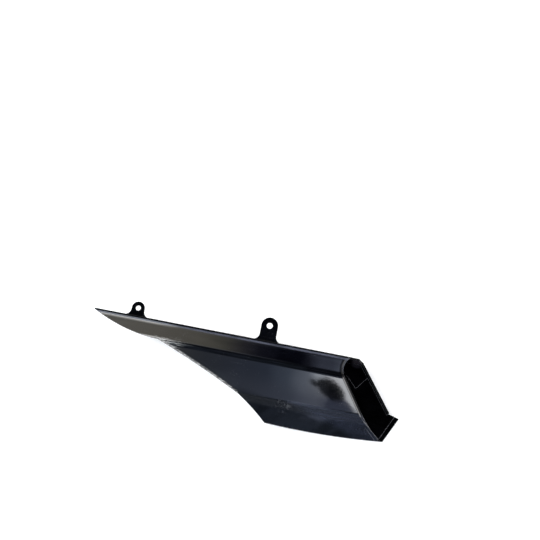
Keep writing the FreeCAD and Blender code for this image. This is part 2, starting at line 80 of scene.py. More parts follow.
# Telling the faces apart, in millimetres: how near a limit still counts as inside, how
# near the plan's outline the upright side lies and where along it ends, and how much
# solid lies behind a trimmed edge, seen from inside and from outside.
SLACK, SKIN_SLACK = 0.1, 0.4
SIDE_REACH, SIDE_END = 2.0, 322.0
EDGE_DEPTH_INSIDE, EDGE_DEPTH_OUTSIDE = 4.0, 6.0
# The test points for it, in metres: just under a face, just over it, and how far to look.
UNDER_FACE, OVER_FACE, LOOK = 2e-5, 0.001, 0.1

# Lines in the gelcoat, in metres: the place, then the distances from it at which the line
# ends and at which it is full. These are measured from the seam:
SHOULDER_HIGHLIGHT_LINE = (0.0028, 0.0012, 0.0004)
FOLD_LINE = (0.01905, 0.0019, 0.0011)
CREASE_HIGHLIGHT_LINE = (0.0566, 0.0019, 0.0005)
CREASE_LINE = (0.0610, 0.0065, 0.0025)
# and these from the skin's front edge:
RIM_HIGHLIGHT_LINE = (0.0, 0.0007, 0.00028)
RIM_ROUNDING = (0.0, 0.0025, 0.0017)
BOW_BAND = (0.0031, 0.0016, 0.00064)
SECOND_HIGHLIGHT_LINE = (0.0045, 0.0006, 0.00024)

# Where a part of the gelcoat's finish starts and where it is full, in metres. Outboard of
# the seam: the bow of the mouth's edge, the painted reflections past the crease, and the
# edges' wear. Along X: the edge's last stretch, the unpolished fold and the crease's painted
# highlight.
BOW_OUT, OUTER_REFLECTION_OUT, FRONT_REFLECTION_OUT = (0.021, 0.019), (0.052, 0.062), (0.054, 0.060)
WEAR_OUT = (0.0006, 0.0012)
LAST_STRETCH, UNPOLISHED, CREASE_HIGHLIGHT_START = (0.113, 0.119), (0.040, 0.052), (0.028, 0.042)
FRONT_REFLECTION_LIMIT = ((224.0, 57.0), (268.0, 71.0))

# Softness of the shoulder beyond its rounding and how far out it reaches, width and height
# of the rolled edge at the mouth, and the rounding of all edges.
SHOULDER_ROLL, SHOULDER_REACH = 17.0, 0.0080
MOUTH_ROLL, MOUTH_ROLL_HEIGHT = 0.0034, 0.0011
EDGE_RADIUS = 0.0007

# Darker and lighter tone of each material, and the ways in which scratches and strands
# run: a turn in degrees and a shift.
GELCOAT_TONES = ((0.0006, 0.0007, 0.0011), (0.0016, 0.0018, 0.0030))
LAMINATE_TONES = ((0.0002, 0.0002, 0.0003), (0.0007, 0.0007, 0.0011))
EDGE_TONES = ((0.0015, 0.0015, 0.002), (0.006, 0.006, 0.007))
FLOOR_TONES = ((0.86, 0.86, 0.86), (0.89, 0.89, 0.89))
SCUFF_WAYS = ((18.0, 0.3), (-37.0, 1.7), (71.0, 3.1))
STRAND_WAYS = ((0.0, 0.0), (31.0, 2.0), (63.0, 4.0), (97.0, 6.0), (128.0, 8.0), (156.0, 1.0))

# Finger marks, and a lighter patch on the inner face near the mouth: a place on the panel, then
# the radii in metres.
SMUDGES = (((216.5, 62.0), (0.0085, 0.0075)), ((306.0, 72.0), (0.007, 0.003)))
PALE_PATCH_CORNER, PALE_PATCH_RADII = (287.0, 2.0), (0.006, 0.004)

# The light sheets, the lamps and the floor.
CEILING_HEIGHT, CEILING_SIZE = 1.6, 3.4
WALL_OUT, WALL_WIDTH, WALL_HEIGHT, WALL_MIDDLE = 1.5, 2.6, 1.59, 0.805
LAMPS = (("soft_left", (-1.3, 0.5, 1.3)), ("soft_right", (1.4, 0.3, 1.2)))
LAMP_SIZE, LAMP_POWER = 1.0, 26.0
FLOOR_SIZE, FLOOR_GAP = 8.0, 0.0005

# Light of the ceiling sheet along X: the part inboard of the panel and the part over it.
CEILING_INBOARD = [
    (-0.30, (0.60, 0.64, 0.72)), (-0.23, (0.42, 0.48, 0.60)), (-0.12, (0.40, 0.48, 0.68)),
    (-0.04, (0.45, 0.56, 0.84)), (0.03, (0.85, 1.05, 1.45)), (0.075, (1.9, 2.15, 2.7)),
    (0.125, (2.9, 3.1, 3.5)), (0.16, (6.0, 6.2, 6.6)), (0.185, (9.2, 9.5, 10.0))]
CEILING_OVER = [
    (-0.30, (0.60, 0.64, 0.72)), (-0.20, (0.60, 0.70, 0.84)), (-0.10, (0.34, 0.43, 0.66)),
    (-0.03, (0.44, 0.55, 0.86)), (0.04, (0.62, 0.76, 1.14)), (0.08, (1.00, 1.16, 1.66)),
    (0.11, (1.30, 1.48, 2.00)), (0.15, (0.95, 1.10, 1.60)), (0.20, (0.62, 0.74, 1.15)),
    (0.30, (0.50, 0.60, 0.95))]
# How much brighter the inboard part is beside the seam.
WINDOW_BOOST = [(0.08, (1.0, 1.0, 1.0)), (0.092, (1.35, 1.35, 1.35)), (0.108, (2.1, 2.1, 2.05)),
                (0.145, (1.8, 1.8, 1.8)), (0.17, (1.25, 1.25, 1.25)), (0.19, (1.0, 1.0, 1.0))]
# Where the two parts meet, and from where on that limit slants outboard.
PARTS_LIMIT, SLANT_START, SLANT = -0.189, 0.1975, 0.7
# Round shapes in the ceiling's light: centre, radii, turn in degrees and softness. A dim
# hollow over the panel, and the dark shape that shows beside the mouth, with its tail.
HOLLOW = ((0.216, -0.224), (0.075, 0.048), 0.0, 0.14)
BLOB = ((0.1572, -0.1735), (0.0470, 0.0262), -24.0, 0.16)
BLOB_TAIL = ((0.1045, -0.1660), (0.016, 0.0075), -15.0, 0.8)

# Light of the wall sheet along X, over this span: its lower part and the band above it.
WALL_SPAN = (-0.50, 0.30)
WALL_LOW = [
    (-0.48, (1.90, 1.82, 1.62)), (-0.36, (1.78, 1.66, 1.44)), (-0.24, (1.42, 1.34, 1.14)),
    (-0.18, (0.98, 0.94, 0.80)), (-0.12, (0.34, 0.33, 0.36)), (-0.064, (0.08, 0.08, 0.13)),
    (0.0, (0.005, 0.005, 0.02)), (0.055, (0.01, 0.01, 0.03)), (0.075, (0.10, 0.11, 0.17)),
    (0.092, (0.32, 0.36, 0.52)), (0.108, (0.55, 0.62, 0.88)), (0.140, (0.56, 0.64, 0.92)),
    (0.155, (0.78, 0.90, 1.25)), (0.170, (1.15, 1.30, 1.75)), (0.25, (1.2, 1.4, 1.8))]
WALL_BAND = [
    (-0.48, (12.0, 11.9, 11.6)), (-0.385, (11.0, 10.9, 10.6)), (-0.315, (1.8, 1.8, 1.7)),
    (-0.10, (0.6, 0.65, 0.8)), (0.05, (0.06, 0.07, 0.10)), (0.16, (0.08, 0.09, 0.13))]

# The photograph's view: where the camera is, and which way its right and back sides point.
CAMERA_PLACE = (0.0312, -0.1585, 0.8937)
CAMERA_RIGHT, CAMERA_BACK = (0.9814, 0.1920, 0.0), (0.0464, -0.2374, 0.9703)
SENSOR_WIDTH, FOCAL_LENGTH, CLIP_START = 36.0, 56.67, 0.01


def spot(along, out):
    """Place on the panel, level with the seam, in the frame of the model."""
    return Vector((along - MAIN_ALONG, -out - MAIN_IN, TAB_DROP)) / 1000.0


def measures(point):
    """Along, out and drop of a point."""
    return (point.x * 1000 + MAIN_ALONG, -point.y * 1000 - MAIN_IN, TAB_DROP - point.z * 1000)


def floor_drop(along):
    """Underside of the floor, below the seam."""
    return FLOOR_DROP + (along - REAR_CORNER[0]) * FLOOR_GRADE


def skin_drop(along, out):
    """Outside of the skin, below the seam."""
    if out < SHOULDER_OUT:
        return 0.0
    if out < FOLD_OUT:
        return (out - SHOULDER_OUT) * FOLD_DROP / (FOLD_OUT - SHOULDER_OUT)
    if out < CREASE_OUT:
        fall = (CREASE_DROP - FOLD_DROP) / (CREASE_OUT - FOLD_OUT)
        return FOLD_DROP + (out - FOLD_OUT) * fall
    return CREASE_DROP + (out - CREASE_OUT) * (OUTER_FALL + OUTER_TWIST * (along - TWIST_START))


def side_out(corners, along):
    """How far outboard a side of the plan runs, at a place along the seam."""
    for (start, first, rise), (end, last, _) in zip(corners, corners[1:]):
        if along <= end:
            share = min(max((along - start) / (end - start), 0.0), 1.0)
            slope = (last - first) / (end - start)
            bow = 4.0 * share * (1.0 - share) * rise * math.hypot(1.0, slope)
            return first + share * (last - first) + bow
    return corners[-1][1]


def within_form(point):
    """True where a point lies in the space that the panel encloses."""
    along, out, drop = measures(point)
    inner, outer = side_out(INNER_SIDE, along), side_out(OUTER_SIDE, along)
    return (inner + SLACK < out < outer + SLACK and skin_drop(along, out) < drop + SKIN_SLACK
            and drop < floor_drop(along) - SLACK)


def on_outer_side(point):
    """True on the moulded side of the wing, from its rear end to the front corner."""
    along, out, _ = measures(point)
    return along < SIDE_END and abs(out - side_out(OUTER_SIDE, along)) < SIDE_REACH


class Nodes:
    """Short names for the shader nodes that the finishes use."""

    def __init__(self, owner):
        owner.use_nodes = True
        self.tree = owner.node_tree
        self.tree.nodes.clear()

    def add(self, kind, **settings):
        node = self.tree.nodes.new(kind)
        for key, value in settings.items():
            setattr(node, key, value)
        return node

    def link(self, out, into):
        self.tree.links.new(out, into)

    def put(self, socket, value):
        """Link a socket to an output, or set it to a number, a vector or a colour."""
        if isinstance(value, bpy.types.NodeSocket):
            self.link(value, socket)
        else:
            socket.default_value = (*value, 1.0) if socket.type == "RGBA" else value

    def fill(self, node, values):
        """Put a value on each named input."""
        for name, value in values.items():
            self.put(node.inputs[name], value)

    def place(self, turn=0.0, stretch=(1.0, 1.0, 1.0), shift=(0.0, 0.0, 0.0)):
        """Object coordinates, turned about Z in degrees, stretched and shifted."""
        node = self.add("ShaderNodeMapping")
        source = self.add("ShaderNodeTexCoord")
        self.fill(node, {"Vector": source.outputs["Object"], "Location": shift,
                         "Rotation": (0.0, 0.0, math.radians(turn)), "Scale": stretch})
        return node.outputs["Vector"]

    def axes(self):
        """X, Y and Z of the object coordinates."""
        node = self.add("ShaderNodeSeparateXYZ")
        self.link(self.place(), node.inputs[0])
        return node.outputs

    def noise(self, scale, detail=2.0, rough=0.5, distort=0.0, vector=None):
        node = self.add("ShaderNodeTexNoise")
        self.fill(node, {"Vector": vector or self.place(), "Scale": scale, "Detail": detail,
                         "Roughness": rough, "Distortion": distort})
        return node.outputs["Fac"]

    def drawn_noise(self, turn, stretch, detail, rough, distort=0.0, shift=(0.0, 0.0, 0.0)):
        """Noise drawn out one way, for strands and streaks."""
        return self.noise(1.0, detail, rough, distort, self.place(turn, stretch, shift))

    def cells(self, scale):
        """Distance from the nearest of many scattered points."""
        node = self.add("ShaderNodeTexVoronoi")
        self.fill(node, {"Vector": self.place(), "Scale": scale})
        return node.outputs["Distance"]

    def math(self, operation, first, second=0.0, third=0.0, clamp=False):
        node = self.add("ShaderNodeMath", operation=operation, use_clamp=clamp)
        for socket, value in zip(node.inputs, (first, second, third)):
            self.put(socket, value)
        return node.outputs[0]

    def chain(self, operation, values):
        result = values[0]
        for value in values[1:]:
            result = self.math(operation, result, value)
        return result

    def times(self, *values):
        return self.chain("MULTIPLY", values)

    def plus(self, *values):
        return self.chain("ADD", values)

    def most(self, *values):
        return self.chain("MAXIMUM", values)

    def minus(self, first, second):
        return self.math("SUBTRACT", first, second)

    def inverse(self, mask):
        """One where a mask is nought, and nought where it is one."""
        return self.minus(1.0, mask)

    def fade(self, value, low, high, start=0.0, end=1.0):
        """Smooth change from start to end while value goes from low to high."""
        node = self.add("ShaderNodeMapRange", interpolation_type="SMOOTHSTEP")
        self.fill(node, {"Value": value, "From Min": low, "From Max": high,
                         "To Min": start, "To Max": end})
        return node.outputs["Result"]

    def near(self, value, place, outer, inner):
        """One within the inner distance of a place, nought beyond the outer one."""
        return self.fade(self.math("ABSOLUTE", self.minus(value, place)), outer, inner)

    def ramp(self, value, low, high, stops):
        """Colours between stops, each a place from low to high and a colour."""
        node = self.add("ShaderNodeValToRGB")
        share = self.add("ShaderNodeMapRange")
        self.fill(share, {"Value": value, "From Min": low, "From Max": high})
        self.link(share.outputs["Result"], node.inputs["Fac"])
        elements = node.color_ramp.elements
        while len(elements) < len(stops):
            elements.new(0.5)
        for element, (place, colour) in zip(elements, stops):
            element.position = (place - low) / (high - low)
            element.color = (*colour, 1.0)
        return node.outputs["Color"]

    def mix(self, factor, first, second, blend="MIX"):
        node = self.add("ShaderNodeMix", data_type="RGBA", blend_type=blend)
        # The node has sockets of every type: 6 and 7 are the colours, and output 2.
        for index, value in ((0, factor), (6, first), (7, second)):
            self.put(node.inputs[index], value)
        return node.outputs[2]

    def cover(self, colour, layers):
        """Colour under layers, each a mask, how far it covers and its colour."""
        for mask, share, tint in layers:
            colour = self.mix(self.times(mask, share), colour, tint)
        return colour

    def bump(self, height, distance, normal=None, strength=1.0):
        node = self.add("ShaderNodeBump")
        self.fill(node, {"Strength": strength, "Distance": distance, "Height": height})
        if normal is not None:
            self.link(normal, node.inputs["Normal"])
        return node.outputs["Normal"]

    def bevel(self, radius):
        node = self.add("ShaderNodeBevel", samples=4)
        node.inputs["Radius"].default_value = radius
        return node.outputs["Normal"]

    def edge_mask(self, radius):
        """One at an outer edge, from how far the rounded normal leaves the true one."""
        true = self.add("ShaderNodeNewGeometry").outputs["Normal"]
        node = self.add("ShaderNodeVectorMath", operation="DOT_PRODUCT")
        self.link(self.bevel(radius), node.inputs[0])
        self.link(true, node.inputs[1])
        return self.fade(node.outputs["Value"], 0.995, 0.80)

    def ellipse(self, centre, radii, turn, soft):
        """One inside a soft ellipse seen from above, nought outside it."""
        x, y, _ = self.axes()
        c, s = math.cos(math.radians(turn)), math.sin(math.radians(turn))
        dx, dy = self.minus(x, centre[0]), self.minus(y, centre[1])
        u = self.plus(self.times(dx, c / radii[0]), self.times(dy, s / radii[0]))
        v = self.minus(self.times(dy, c / radii[1]), self.times(dx, s / radii[1]))
        reach = self.plus(self.times(u, u), self.times(v, v))
        return self.fade(reach, 1.0 + soft, 1.0 - soft)

    def surface(self, colour, roughness, normal, level):
        shader = self.add("ShaderNodeBsdfPrincipled")
        self.fill(shader, {"Base Color": colour, "Roughness": roughness, "Normal": normal,
                           "Specular IOR Level": level})
        output = self.add("ShaderNodeOutputMaterial")
        self.link(shader.outputs[0], output.inputs["Surface"])


def from_seam(n):
    """Distance outboard of the seam, in metres."""
    return n.minus(spot(0.0, 0.0).y, n.axes()[1])


def behind_line(n, start, end):
    """Distance behind a line seen from above, between two places, in metres."""
    x, y, _ = n.axes()
    first = spot(*start)
    way = (spot(*end) - first).normalized()
    return n.minus(n.times(n.minus(x, first.x), way.y), n.times(n.minus(y, first.y), way.x))


def behind_mouth(n):
    """Distance behind the skin's front edge, in metres: two straights and a bow."""
    x, y, _ = n.axes()
    straights = n.most(behind_line(n, MOUTH_ROOT, MOUTH_CREASE),
                       behind_line(n, MOUTH_CREASE, MOUTH_END))
    centre = spot(*MOUTH_BOW_CENTRE)
    dx, dy = n.minus(x, centre.x), n.minus(y, centre.y)
    reach = n.math("SQRT", n.plus(n.times(dx, dx), n.times(dy, dy)))
    outboard = n.math("LESS_THAN", y, spot(*MOUTH_ROOT).y)
    return n.plus(n.times(straights, outboard),
                  n.times(n.minus(reach, MOUTH_BOW_RADIUS), n.inverse(outboard)))


def facing_up(n):
    """One on faces that look up."""
    normal = n.add("ShaderNodeNewGeometry").outputs["Normal"]
    parts = n.add("ShaderNodeSeparateXYZ")
    n.link(normal, parts.inputs[0])
    return n.fade(parts.outputs[2], 0.2, 0.5)


def dust_mask(n):
    """Specks of dust, in patches."""
    return n.times(n.fade(n.cells(620.0), 0.16, 0.06), n.fade(n.noise(55.0), 0.52, 0.70))


def scuff_mask(n):
    """Fine scratches that run three ways, in patches."""
    lines = [n.fade(n.drawn_noise(turn, (28.0, 2600.0, 28.0), 1.0, 0.4,
                                  shift=(shift, shift, 0.0)), 0.70, 0.78)
             for turn, shift in SCUFF_WAYS]
    return n.times(n.most(*lines), n.fade(n.noise(26.0), 0.50, 0.66))


def outer_painted_reflection_mask(n):
    """Painted reflection: a lighter blue-grey tone in patches on the outer face, beyond the
    crease.
    """
    past = n.fade(from_seam(n), *OUTER_REFLECTION_OUT)
    return n.times(past, n.fade(n.noise(30.0, 4.0, 0.6), 0.25, 0.6, 0.10, 0.75))


def front_painted_reflection_mask(n):
    """Painted reflection in drawn-out streaks, towards the front of the outer face and
    strongest at the crease.
    """
    out = from_seam(n)
    ahead = n.fade(behind_line(n, *FRONT_REFLECTION_LIMIT), 0.003, -0.004)
    past = n.fade(out, *FRONT_REFLECTION_OUT)
    crest = n.fade(out, 0.072, 0.060, 0.75, 1.35)
    cloud = n.fade(n.drawn_noise(-35.0, (26.0, 110.0, 26.0), 4.0, 0.6, 0.6), 0.32, 0.60)
    return n.times(ahead, past, n.times(n.most(cloud, 0.55), crest))


def crease_painted_highlight_mask(n):
    """Painted highlight along the crease, on the forward half of the wing, in patches."""
    x = n.axes()[0]
    reach = n.times(n.fade(x, *CREASE_HIGHLIGHT_START), n.fade(x, 0.085, 0.068, 0.45, 1.0))
    patchy = n.fade(n.noise(90.0, 3.0), 0.2, 0.5, 0.7, 1.0)
    return n.times(n.near(from_seam(n), *CREASE_HIGHLIGHT_LINE), reach, patchy)


def smudge_mask(n):
    """Greasy finger marks on the outer face, near the crease and the front corner."""
    patches = [n.ellipse(spot(*place), radii, -10.0, 0.8) for place, radii in SMUDGES]
    blots = n.fade(n.noise(210.0, 3.0, 0.55, 0.8), 0.52, 0.68)
    return n.times(n.most(*patches), blots)


def frayed_and_painted_highlight_mask(n):
    """Pale frayed fibres and a painted highlight along the trailing edge, just behind the
    strip's end.
    """
    start, end = spot(*STRIP_END), spot(*NOTCH)
    share = n.math("DIVIDE", n.minus(n.axes()[0], start.x), end.x - start.x)
    bow = n.times(share, n.inverse(share), 4.0 * TRAIL_RISE / 1000.0)
    gap = n.math("ABSOLUTE", n.plus(behind_line(n, STRIP_END, NOTCH), bow))
    within = n.times(n.fade(share, -0.05, 0.01), n.fade(share, 1.0, 0.98))
    limit = n.math("MULTIPLY_ADD", n.most(share, 0.0), 0.050, 0.0018)
    strands = n.drawn_noise(14.0, (70.0, 1250.0, 70.0), 2.0, 0.6, 0.5)
    near = n.times(n.fade(gap, limit, n.times(limit, 0.5)), n.fade(share, 0.34, 0.06),
                   n.fade(strands, 0.54, 0.60))
    teeth = n.drawn_noise(-58.0, (160.0, 1150.0, 160.0), 2.0, 0.6, 0.3)
    painted_edge_highlight = n.times(n.fade(gap, 0.0026, 0.0002), n.fade(teeth, 0.44, 0.58), 0.85)
    specks = n.drawn_noise(0.0, (420.0, 420.0, 900.0), 3.0, 0.6)
    shown = n.most(facing_up(n), n.fade(specks, 0.60, 0.70, 0.0, 0.35))
    return n.times(n.most(near, painted_edge_highlight), within, shown)


def worn_mask(n):
    """Outer edges rubbed pale, in patches, except along the seam."""
    patchy = n.fade(n.noise(240.0, 3.0), 0.30, 0.50)
    return n.times(n.edge_mask(0.0006), patchy, n.fade(from_seam(n), *WEAR_OUT))


def shoulder_painted_highlight_mask(n):
    """Painted highlight: a thin bluish-grey line along the shoulder, beside the seam, in
    streaks.
    """
    patchy = n.fade(n.drawn_noise(0.0, (48.0, 260.0, 48.0), 3.0, 0.6), 0.30, 0.62, 0.45, 1.0)
    return n.times(n.near(from_seam(n), *SHOULDER_HIGHLIGHT_LINE), patchy, facing_up(n))


def dull_rim(n, gap, ahead, on_bow):
    """Where the mouth's edge stays dark: between bow and last stretch, and beside the bow."""
    edge = n.times(n.near(gap, *RIM_ROUNDING), n.inverse(n.most(ahead, on_bow)))
    band = n.times(n.near(gap, *BOW_BAND), on_bow)
    return n.times(n.most(edge, n.times(band, 0.85)), facing_up(n))


def dull_fold(n):
    """Where no polishing wheel reaches: the bottom of the fold, towards the mouth."""
    line = n.near(from_seam(n), *FOLD_LINE)
    return n.times(line, n.fade(n.axes()[0], *UNPOLISHED), facing_up(n))


def gelcoat_normal(n, gap):
    """Rounded edges, the mouth's rolled edge, the soft shoulder, waves and orange peel."""
    rolled = n.most(n.fade(gap, 0.0, MOUTH_ROLL), n.inverse(facing_up(n)))
    normal = n.bump(rolled, MOUTH_ROLL_HEIGHT, n.bevel(EDGE_RADIUS))
    inner = n.most(n.minus(SHOULDER_REACH, n.most(from_seam(n), 0.0)), 0.0)
    normal = n.bump(n.times(inner, inner, -SHOULDER_ROLL), 1.0, normal)
    normal = n.bump(n.noise(15.0, 2.0, 0.4), 0.00018, normal)
    return n.bump(n.noise(420.0), 0.000003, normal)


def gelcoat():
    """Polished near-black gelcoat: faint blue cast, orange peel, haze, dust and scuffs, with
    painted reflections on the outer face and painted highlights along the shoulder, the crease,
    the trailing edge and the mouth's edge.
    """
    material = bpy.data.materials.new("gelcoat_polished")
    n = Nodes(material)
    out, gap = from_seam(n), behind_mouth(n)
    dust, scuffs, smudges, frayed_and_painted_highlight = dust_mask(n), scuff_mask(n), smudge_mask(n), frayed_and_painted_highlight_mask(n)

    # Painted highlights: the mouth's edge is painted light in its last stretch, and faintly at
    # the bow beside the seam, with a fainter painted second line behind it.
    ahead = n.fade(n.axes()[0], *LAST_STRETCH)
    on_bow = n.fade(out, *BOW_OUT)
    front = n.times(facing_up(n), n.most(ahead, n.times(on_bow, 0.12)))
    painted_edge_highlight = n.times(n.near(gap, *RIM_HIGHLIGHT_LINE), front)
    second = n.times(n.near(gap, *SECOND_HIGHLIGHT_LINE), front, n.fade(n.noise(90.0), 0.45, 0.60))

    # From the lowest layer up: its mask, how far it covers, and its colour.
    tone = n.fade(n.noise(22.0, 4.0, 0.55), 0.35, 0.70)
    colour = n.cover(n.mix(tone, *GELCOAT_TONES), (
        (dust, 0.30, (0.20, 0.21, 0.23)),
        (scuffs, 0.10, (0.25, 0.26, 0.29)),
        # Painted reflection beyond the crease.
        (outer_painted_reflection_mask(n), 1.0, (0.0048, 0.0058, 0.0082)),
        # Painted reflection towards the front of the outer face, strongest at the crease.
        (front_painted_reflection_mask(n), 0.7, (0.0150, 0.0180, 0.0290)),
        # Painted highlight along the crease.
        (crease_painted_highlight_mask(n), 1.0, (0.0230, 0.0265, 0.0370)),
        (smudges, 0.28, (0.060, 0.063, 0.076)),
        # Frayed fibres with a painted highlight along the trailing edge.
        (frayed_and_painted_highlight, 0.85, (0.42, 0.42, 0.41)),
        (worn_mask(n), 0.55, (0.14, 0.145, 0.16)),
        # Painted highlight along the shoulder.
        (shoulder_painted_highlight_mask(n), 1.0, (0.062, 0.065, 0.086)),
        # Painted highlight lines along the mouth's edge.
        (painted_edge_highlight, 0.95, (0.30, 0.31, 0.34)),
        (second, 0.22, (0.16, 0.165, 0.18))))

    # Polished, with haze in patches, and rougher by a set amount under each mark.
    rough = n.plus(0.035, n.times(n.fade(n.noise(34.0, 5.0, 0.62), 0.48, 0.78), 0.03))
    for mask, more in ((n.near(out, *CREASE_LINE), 0.20), (scuffs, 0.12), (dust, 0.35),
                       (smudges, 0.25), (frayed_and_painted_highlight, 0.5), (painted_edge_highlight, 0.3)):
        rough = n.math("ADD", rough, n.times(mask, more), clamp=True)

    # Nearly no gloss where the finish is dull.
    dull = n.most(dull_rim(n, gap, ahead, on_bow), dull_fold(n))
    level = n.math("MULTIPLY_ADD", dull, -0.46, 0.5)
    n.surface(colour, rough, gelcoat_normal(n, gap), level)
    return material


def strand_height(n):
    """Chopped strands of the mat, lying every way in the resin, from 0 to 1."""
    strands = [n.fade(n.drawn_noise(turn, (45.0, 900.0, 200.0), 1.5, 0.5,
                                    shift=(shift, -shift, shift)), 0.60, 0.72)
               for turn, shift in STRAND_WAYS]
    return n.most(*strands)


def laminate():
    """Raw inner face: black resin over chopped strand mat, matt with smoother pools."""
    material = bpy.data.materials.new("laminate_raw")
    n = Nodes(material)
    strands = strand_height(n)
    tone = n.fade(n.noise(60.0, 4.0, 0.6), 0.35, 0.70)
    # Painted reflection: a lighter blue-grey band along the floor's front lip.
    lip_painted_reflection = n.fade(behind_line(n, FLOOR_TIP, FRONT_CORNER), -0.0052, -0.0056)
    worn = n.times(n.edge_mask(EDGE_RADIUS), n.fade(n.noise(180.0, 3.0), 0.25, 0.45))
    colour = n.cover(n.mix(tone, *LAMINATE_TONES), (
        (strands, 0.4, (0.0020, 0.0020, 0.0027)),
        # A lighter patch near the mouth's inboard corner.
        (n.ellipse(spot(*PALE_PATCH_CORNER), PALE_PATCH_RADII, 0.0, 0.8), 0.5, (0.030, 0.027, 0.034)),
        (lip_painted_reflection, 0.8, (0.0065, 0.0072, 0.0100)),
        (worn, 0.8, (0.16, 0.16, 0.175))))
    rough = n.fade(n.noise(48.0, 3.0), 0.40, 0.65, 0.62, 0.34)
    normal = n.bump(strands, 0.00012, strength=0.6)
    normal = n.bump(n.noise(160.0, 3.0, 0.6), 0.0001, normal, 0.5)
    n.surface(colour, rough, normal, 0.0)
    return material


def cut_edge():
    """Trimmed edge: ground laminate, its layers just showing."""
    material = bpy.data.materials.new("edge_trimmed")
    n = Nodes(material)
    grain = n.noise(700.0, 3.0, 0.6)
    chips = n.fade(n.noise(190.0, 3.0, 0.6), 0.60, 0.72)
    colour = n.cover(n.mix(n.fade(grain, 0.35, 0.70), *EDGE_TONES),
                     ((chips, 0.25, (0.06, 0.06, 0.065)),))
    rough = n.fade(grain, 0.3, 0.7, 0.45, 0.75)
    normal = n.bump(grain, 0.00008, n.bevel(0.0005), 0.7)
    n.surface(colour, rough, normal, 0.05)
    return material


def dress(node, outside, inside, edge):
    """Copy of the solid with its outside, inside and trimmed edges told apart."""
    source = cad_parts[node]
    mesh = source.data.copy()
    piece = bpy.data.objects.new("panel_shell", mesh)
    bpy.context.scene.collection.objects.link(piece)
    mesh.materials.clear()
    for material in (outside, inside, edge):
        mesh.materials.append(material)
    shape = bmesh.new()
    shape.from_mesh(mesh)
    tree = BVHTree.FromBMesh(shape)
    shape.faces.ensure_lookup_table()
    for face in shape.faces:
        centre, normal = face.calc_center_median(), face.normal
        hit = tree.ray_cast(centre - normal * UNDER_FACE, -normal, LOOK)
        behind = 1000.0 * hit[3] if hit[0] is not None else 0.0
        if within_form(centre + normal * OVER_FACE):
            face.material_index = 2 if behind > EDGE_DEPTH_INSIDE else 1
        else:
            trimmed = behind > EDGE_DEPTH_OUTSIDE and not on_outer_side(centre)
            face.material_index = 2 if trimmed else 0
    shape.to_mesh(mesh)
    shape.free()
    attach(piece, "root")
    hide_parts(node)


def add_plane(name, centre, size, material, turn=(0.0, 0.0, 0.0)):
    """Flat square-cornered sheet of the stage, facing up before it is turned."""
    mesh = bpy.data.meshes.new(name)
    x, y = size[0] / 2, size[1] / 2
    mesh.from_pydata([(-x, -y, 0), (x, -y, 0), (x, y, 0), (-x, y, 0)], [], [(0, 1, 2, 3)])
    mesh.materials.append(material)
    plane = bpy.data.objects.new(name, mesh)
    bpy.context.scene.collection.objects.link(plane)
    plane.location = centre
    plane.rotation_euler = [math.radians(angle) for angle in turn]
    return plane


def add_light_sheet(*args):
    """Sheet that gives light and shows in the gloss, but not to the camera."""
    sheet = add_plane(*args)
    sheet.visible_camera = False
    sheet.visible_shadow = False


def glow(name, paint):
    """Material that only gives light; paint returns its colour."""
    material = bpy.data.materials.new(name)
    n = Nodes(material)
    light = n.add("ShaderNodeEmission")
    n.fill(light, {"Color": paint(n), "Strength": 1.0})
    n.link(light.outputs[0], n.add("ShaderNodeOutputMaterial").inputs["Surface"])
    return material


def paint_ceiling(n):
    """Soft overhead sheet: dim blue-grey, brighter towards the front, with a window."""
    x, y, _ = n.axes()
    boost = n.ramp(x, 0.06, 0.22, WINDOW_BOOST)
    boost = n.mix(n.fade(y, -0.156, -0.138), (1.0, 1.0, 1.0), boost)
    inboard = n.mix(1.0, n.ramp(x, -0.35, 0.25, CEILING_INBOARD), boost, "MULTIPLY")
    over = n.mix(0.2, n.ramp(x, -0.35, 0.35, CEILING_OVER), (1.5, 1.6, 1.9))
    over = n.mix(n.ellipse(*HOLLOW), over, (0.62, 0.72, 1.10))

    slant = n.times(n.most(n.minus(x, SLANT_START), 0.0), SLANT)
    soft = n.fade(x, 0.10, 0.19, 0.030, 0.006)
    is_inboard = n.fade(n.plus(y, slant), n.minus(PARTS_LIMIT, soft), n.plus(PARTS_LIMIT, soft))
    colour = n.mix(is_inboard, over, inboard)
    colour = n.mix(n.most(n.ellipse(*BLOB), n.ellipse(*BLOB_TAIL)), colour, (0.05, 0.055, 0.06))
    colour = n.mix(n.fade(x, 0.30, 0.37), colour, (0.08, 0.09, 0.12))

    edge = n.plus(y, n.fade(x, -0.10, 0.06, 0.0, 0.035))
    far = n.times(n.fade(edge, -0.215, -0.250), n.inverse(n.times(far_patch(n, x, y), 0.9)))
    colour = n.mix(far, colour, paint_far_ceiling(n, x))
    colour = n.mix(n.fade(y, -0.115, -0.08), colour, (0.20, 0.25, 0.34))
    return n.mix(n.fade(y, 0.0, 0.10), colour, (0.01, 0.01, 0.015))


def far_patch(n, x, y):
    """Part of the outboard sheet that is as light as the part overhead."""
    near = n.times(n.fade(x, 0.175, 0.150), n.fade(y, -0.55, -0.30, 0.0, 0.2))
    limit = n.math("MULTIPLY_ADD", x, -1.6, -0.748)
    wave = n.math("MULTIPLY_ADD", n.noise(14.0), 0.05, -0.025)
    beyond = n.minus(y, n.plus(limit, wave))
    far = n.times(n.fade(x, 0.285, 0.215), n.fade(beyond, 0.012, -0.012))
    return n.times(n.most(near, far), n.fade(x, 0.085, 0.105))


def paint_far_ceiling(n, x):
    """Outboard part of the sheet: dark, with paler streaks, and bright at the rear."""
    streaks = n.fade(n.drawn_noise(35.0, (9.0, 2.2, 1.0), 3.0, 0.6, 0.8), 0.38, 0.66)
    colour = n.mix(streaks, (0.06, 0.08, 0.11), (0.20, 0.25, 0.36))
    return n.mix(n.fade(x, -0.31, -0.40), colour, (3.0, 3.3, 3.5))


